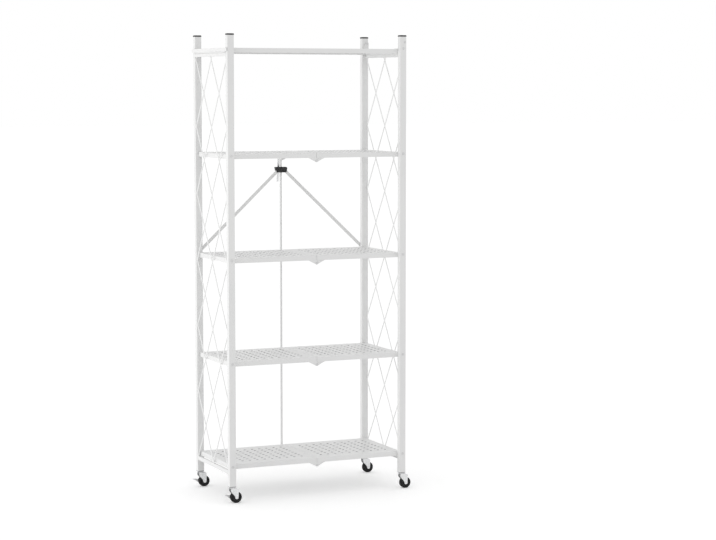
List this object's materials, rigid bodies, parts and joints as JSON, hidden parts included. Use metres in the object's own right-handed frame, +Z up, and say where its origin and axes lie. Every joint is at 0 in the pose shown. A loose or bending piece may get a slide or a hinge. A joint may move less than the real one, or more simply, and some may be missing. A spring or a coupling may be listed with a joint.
{
  "type": "folding shelving unit",
  "caption": "White steel shelving unit on casters whose perforated shelves fold up at the middle, so that its lattice side frames close flat together.",
  "frame": {"origin": "on the floor, in the middle of the four posts", "axes": "+X across the width to the unit's right seen from the front, +Y from front to rear, +Z up"},
  "size_m": [0.697, 0.3821, 1.6],
  "materials": {
    "white_coat": "satin powder coat",
    "white_shelf": "satin powder coat",
    "white_wire": "satin powder coat",
    "white_rivet": "satin",
    "grey_plastic": "matte",
    "black_plastic": "matte",
    "wheel_black": "matte",
    "zinc": "zinc plated"
  },
  "bodies": {
    "left_frame": {"left_front_post": "white_coat", "left_rear_post": "white_coat", "left_top_rail": "white_coat", "left_bottom_rail": "white_coat", "left_lattice": "white_wire", "left_front_cap": "black_plastic", "left_rear_cap": "black_plastic", "left_shelf_pivots": "white_rivet", "left_front_caster_plug": "grey_plastic", "left_rear_caster_plug": "grey_plastic"},
    "right_frame": {"right_front_post": "white_coat", "right_rear_post": "white_coat", "right_top_rail": "white_coat", "right_bottom_rail": "white_coat", "right_lattice": "white_wire", "right_front_cap": "black_plastic", "right_rear_cap": "black_plastic", "right_shelf_pivots": "white_rivet", "right_front_caster_plug": "grey_plastic", "right_rear_caster_plug": "grey_plastic", "top_shelf_pivots": "white_rivet"},
    "shelf_2_left": {"shelf_2_left_half": "white_shelf", "shelf_2_centre_pins": "white_rivet"},
    "shelf_2_right": {"shelf_2_right_half": "white_shelf"},
    "shelf_3_left": {"shelf_3_left_half": "white_shelf", "shelf_3_centre_pins": "white_rivet"},
    "shelf_3_right": {"shelf_3_right_half": "white_shelf"},
    "shelf_4_left": {"shelf_4_left_half": "white_shelf", "shelf_4_centre_pins": "white_rivet"},
    "shelf_4_right": {"shelf_4_right_half": "white_shelf"},
    "shelf_5_left": {"shelf_5_left_half": "white_shelf", "shelf_5_centre_pins": "white_rivet"},
    "shelf_5_right": {"shelf_5_right_half": "white_shelf"},
    "top_shelf": {"top_shelf_panel": "white_shelf", "top_shelf_end_lip": "white_shelf", "top_shelf_hinge_ears": "white_coat"},
    "rod": {"linkage_rod": "white_coat", "shelf_2_rod_bush": "white_coat", "shelf_3_rod_bush": "white_coat", "shelf_4_rod_bush": "white_coat", "shelf_5_rod_bush": "white_coat"},
    "hub": {"slider_hub": "black_plastic", "lever_pin": "zinc"},
    "lever": {"release_lever": "zinc"},
    "left_brace": {"left_brace": "white_coat"},
    "right_brace": {"right_brace": "white_coat"},
    "left_front_caster": {"left_front_fork": "zinc", "left_front_axle": "zinc"},
    "left_front_wheel": {"left_front_wheel": "wheel_black"},
    "left_front_pedal": {"left_front_brake_pedal": "zinc"},
    "left_rear_caster": {"left_rear_fork": "zinc", "left_rear_axle": "zinc"},
    "left_rear_wheel": {"left_rear_wheel": "wheel_black"},
    "left_rear_pedal": {"left_rear_brake_pedal": "zinc"},
    "right_front_caster": {"right_front_fork": "zinc", "right_front_axle": "zinc"},
    "right_front_wheel": {"right_front_wheel": "wheel_black"},
    "right_rear_caster": {"right_rear_fork": "zinc", "right_rear_axle": "zinc"},
    "right_rear_wheel": {"right_rear_wheel": "wheel_black"}
  },
  "joints": [
    {"name": "fold", "type": "hinge", "parent": "left_frame", "child": "shelf_3_left", "pos_m": [-0.321, 0, 0.834], "axis": [0, -1, 0], "range_deg": [0, 90]},
    {"name": "shelf_3_centre", "type": "hinge", "parent": "shelf_3_left", "child": "shelf_3_right", "pos_m": [0, 0, 0.813], "axis": [0, 1, 0], "range_deg": [0, 180]},
    {"name": "right_frame_hinge", "type": "hinge", "parent": "shelf_3_right", "child": "right_frame", "pos_m": [0.321, 0, 0.834], "axis": [0, -1, 0], "range_deg": [0, 90]},
    {"name": "shelf_2_left_hinge", "type": "hinge", "parent": "left_frame", "child": "shelf_2_left", "pos_m": [-0.321, 0, 1.188], "axis": [0, -1, 0], "range_deg": [0, 90]},
    {"name": "shelf_2_centre", "type": "hinge", "parent": "shelf_2_left", "child": "shelf_2_right", "pos_m": [0, 0, 1.167], "axis": [0, 1, 0], "range_deg": [0, 180]},
    {"name": "shelf_4_left_hinge", "type": "hinge", "parent": "left_frame", "child": "shelf_4_left", "pos_m": [-0.321, 0, 0.48], "axis": [0, -1, 0], "range_deg": [0, 90]},
    {"name": "shelf_4_centre", "type": "hinge", "parent": "shelf_4_left", "child": "shelf_4_right", "pos_m": [0, 0, 0.459], "axis": [0, 1, 0], "range_deg": [0, 180]},
    {"name": "shelf_5_left_hinge", "type": "hinge", "parent": "left_frame", "child": "shelf_5_left", "pos_m": [-0.321, 0, 0.126], "axis": [0, -1, 0], "range_deg": [0, 90]},
    {"name": "shelf_5_centre", "type": "hinge", "parent": "shelf_5_left", "child": "shelf_5_right", "pos_m": [0, 0, 0.105], "axis": [0, 1, 0], "range_deg": [0, 180]},
    {"name": "rod_pivot", "type": "hinge", "parent": "shelf_3_left", "child": "rod", "pos_m": [0, 0.1785, 0.813], "axis": [0, 1, 0], "range_deg": [0, 90]},
    {"name": "hub_slide", "type": "slide", "parent": "rod", "child": "hub", "axis": [0, 0, -1], "range_m": [0, 0.2098]},
    {"name": "left_brace_hinge", "type": "hinge", "parent": "left_frame", "child": "left_brace", "pos_m": [-0.321, 0.1717, 0.834], "axis": [0, -1, 0], "range_deg": [0, 46.3]},
    {"name": "right_brace_hinge", "type": "hinge", "parent": "right_frame", "child": "right_brace", "pos_m": [0.321, 0.1717, 0.834], "axis": [0, 1, 0], "range_deg": [0, 46.3]},
    {"name": "top_shelf_hinge", "type": "hinge", "parent": "right_frame", "child": "top_shelf", "pos_m": [0.327, 0, 1.576], "axis": [0, 1, 0], "range_deg": [0, 270]},
    {"name": "lever_press", "type": "hinge", "parent": "hub", "child": "lever", "pos_m": [0, 0.1909, 1.125], "axis": [1, 0, 0], "range_deg": [0, 10], "stiffness_Nm_per_rad": 0.3, "springref_deg": -5.73},
    {"name": "left_front_swivel", "type": "hinge", "parent": "left_frame", "child": "left_front_caster", "pos_m": [-0.321, -0.16, 0.054], "axis": [0, 0, 1], "continuous": true},
    {"name": "left_front_roll", "type": "hinge", "parent": "left_front_caster", "child": "left_front_wheel", "pos_m": [-0.3073, -0.16, 0.02], "axis": [0, 1, 0], "continuous": true},
    {"name": "left_front_brake", "type": "hinge", "parent": "left_front_caster", "child": "left_front_pedal", "pos_m": [-0.3073, -0.16, 0.02], "axis": [0, -1, 0], "range_deg": [0, 12]},
    {"name": "left_rear_swivel", "type": "hinge", "parent": "left_frame", "child": "left_rear_caster", "pos_m": [-0.321, 0.16, 0.054], "axis": [0, 0, 1], "continuous": true},
    {"name": "left_rear_roll", "type": "hinge", "parent": "left_rear_caster", "child": "left_rear_wheel", "pos_m": [-0.3073, 0.16, 0.02], "axis": [0, 1, 0], "continuous": true},
    {"name": "left_rear_brake", "type": "hinge", "parent": "left_rear_caster", "child": "left_rear_pedal", "pos_m": [-0.3073, 0.16, 0.02], "axis": [0, -1, 0], "range_deg": [0, 12]},
    {"name": "right_front_swivel", "type": "hinge", "parent": "right_frame", "child": "right_front_caster", "pos_m": [0.321, -0.16, 0.054], "axis": [0, 0, 1], "continuous": true},
    {"name": "right_front_roll", "type": "hinge", "parent": "right_front_caster", "child": "right_front_wheel", "pos_m": [0.3347, -0.16, 0.02], "axis": [0, 1, 0], "continuous": true},
    {"name": "right_rear_swivel", "type": "hinge", "parent": "right_frame", "child": "right_rear_caster", "pos_m": [0.321, 0.16, 0.054], "axis": [0, 0, 1], "continuous": true},
    {"name": "right_rear_roll", "type": "hinge", "parent": "right_rear_caster", "child": "right_rear_wheel", "pos_m": [0.3347, 0.16, 0.02], "axis": [0, 1, 0], "continuous": true}
  ],
  "couplings": [
    {"joint": "shelf_3_centre", "follows": "fold", "ratio": 2},
    {"joint": "right_frame_hinge", "follows": "fold", "ratio": 1},
    {"joint": "shelf_2_left_hinge", "follows": "fold", "ratio": 1},
    {"joint": "shelf_2_centre", "follows": "fold", "ratio": 2},
    {"joint": "shelf_4_left_hinge", "follows": "fold", "ratio": 1},
    {"joint": "shelf_4_centre", "follows": "fold", "ratio": 2},
    {"joint": "shelf_5_left_hinge", "follows": "fold", "ratio": 1},
    {"joint": "shelf_5_centre", "follows": "fold", "ratio": 2},
    {"joint": "rod_pivot", "follows": "fold", "ratio": 1},
    {"joint": "hub_slide", "follows": "fold", "m_per_rad": 0.13343},
    {"joint": "left_brace_hinge", "follows": "fold", "ratio": 0.51395},
    {"joint": "right_brace_hinge", "follows": "fold", "ratio": 0.51395}
  ]
}
